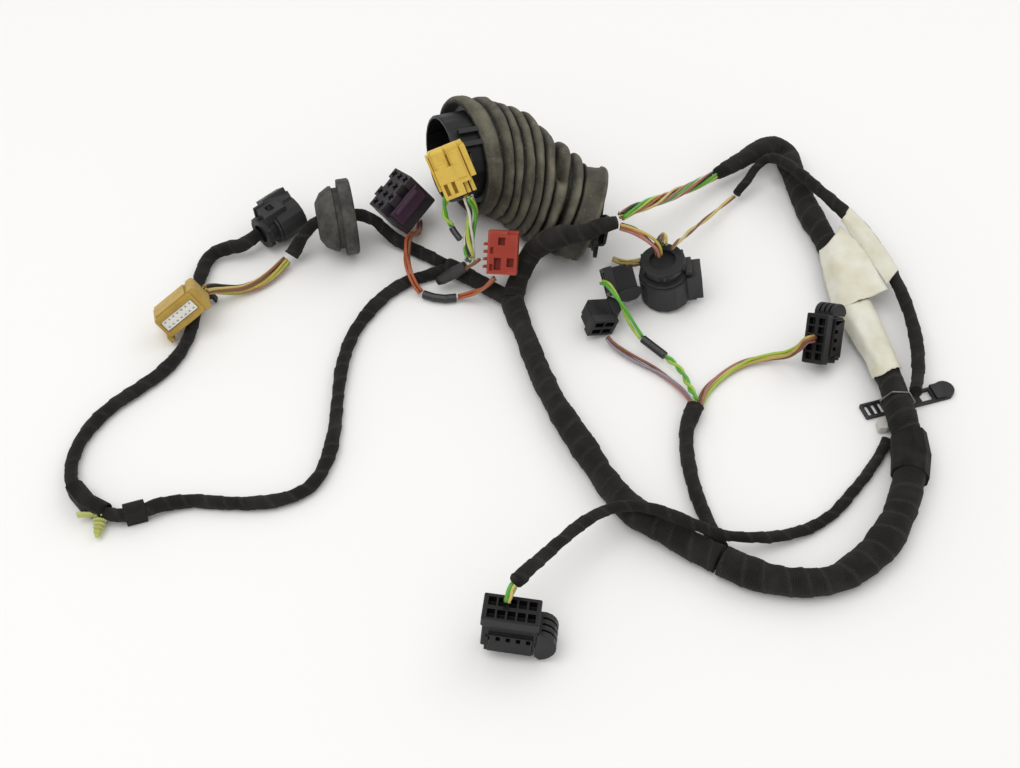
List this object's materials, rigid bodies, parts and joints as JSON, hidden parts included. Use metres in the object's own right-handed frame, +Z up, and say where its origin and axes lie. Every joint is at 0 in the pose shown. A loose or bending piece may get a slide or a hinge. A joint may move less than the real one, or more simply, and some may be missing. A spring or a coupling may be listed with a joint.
{
  "type": "wiring harness",
  "caption": "Taped car door wiring harness with a ribbed rubber bellows, a coupling frame, round and flat plugs, a grommet, clips and bare labels, laid out flat.",
  "frame": {"origin": "centre of the footprint, on the plane the harness lies on", "axes": "+X runs from the door loop at the left to the labelled trunk at the right, +Z is up from the plane it lies on"},
  "size_m": [0.4262, 0.3265, 0.0708],
  "materials": {
    "bellows_rubber": "moulded rubber, dusty",
    "cloth_tape": "woven cloth tape, matt",
    "black_nylon": "moulded nylon",
    "charcoal_nylon": "moulded nylon",
    "yellow_nylon": "moulded nylon",
    "violet_black_nylon": "moulded nylon",
    "purple_nylon": "moulded nylon",
    "red_nylon": "moulded nylon",
    "mustard_nylon": "moulded nylon",
    "white_nylon": "moulded nylon",
    "grommet_rubber": "moulded rubber",
    "clip_nylon": "moulded nylon",
    "galvanised_wire": "galvanised",
    "white_foam": "soft foam",
    "shrink_sleeve": "shrunk sleeve",
    "label_film": "aged label film",
    "tan_insulation": "extruded insulation",
    "pale_insulation": "extruded insulation",
    "green_insulation": "extruded insulation",
    "brown_insulation": "extruded insulation",
    "orange_insulation": "extruded insulation",
    "grey_insulation": "extruded insulation"
  },
  "bodies": {
    "root": {"trunk_upper": "cloth_tape", "trunk_lower": "cloth_tape", "trunk_front": "cloth_tape", "branch_grommet": "cloth_tape", "branch_door_loop": "cloth_tape", "branch_switches": "cloth_tape", "branch_module": "cloth_tape", "branch_side": "cloth_tape", "torn_tape_band": "cloth_tape", "bellows": "bellows_rubber", "coupling_frame": "black_nylon", "bellows_end_socket": "black_nylon", "round_plug_small_barrel": "charcoal_nylon", "round_plug_small_body": "charcoal_nylon", "round_plug_large_barrel": "charcoal_nylon", "round_plug_large_body": "charcoal_nylon", "yellow_plug_housing": "yellow_nylon", "yellow_plug_lock": "yellow_nylon", "black_plug_housing": "violet_black_nylon", "black_plug_lock": "purple_nylon", "red_plug_housing": "red_nylon", "pin_plug_housing": "mustard_nylon", "pin_plug_insert": "white_nylon", "module_plug_body": "black_nylon", "module_plug_lever": "black_nylon", "mirror_plug_body": "black_nylon", "mirror_plug_lever": "black_nylon", "switch_plug_top": "black_nylon", "switch_plug_foot": "black_nylon", "small_grommet": "grommet_rubber", "fir_tree_clip": "clip_nylon", "clip_wrap_left": "cloth_tape", "clip_wrap_right": "cloth_tape", "cable_tie": "black_nylon", "ladder_strap": "black_nylon", "tie_wire": "galvanised_wire", "foam_tag": "white_foam", "splice_cap": "shrink_sleeve", "label_lower": "label_film", "label_main": "label_film", "label_upper": "label_film", "wires_pin_plug": "tan_insulation", "wires_yellow_plug": "pale_insulation", "wires_green_pair": "green_insulation", "wires_splice_to_red": "brown_insulation", "wires_black_plug": "brown_insulation", "wires_red_plug": "orange_insulation", "wires_round_front": "orange_insulation", "wires_round_back": "tan_insulation", "wires_round_thin": "pale_insulation", "wires_bridge": "green_insulation", "wires_switch_c": "tan_insulation", "wires_switch_b": "grey_insulation", "wires_green_twist": "green_insulation", "wires_switch_a": "green_insulation", "wires_module_plug": "tan_insulation", "tape_bit_brown": "shrink_sleeve", "tape_bit_green": "shrink_sleeve", "sleeve_green": "shrink_sleeve"}
  },
  "joints": []
}
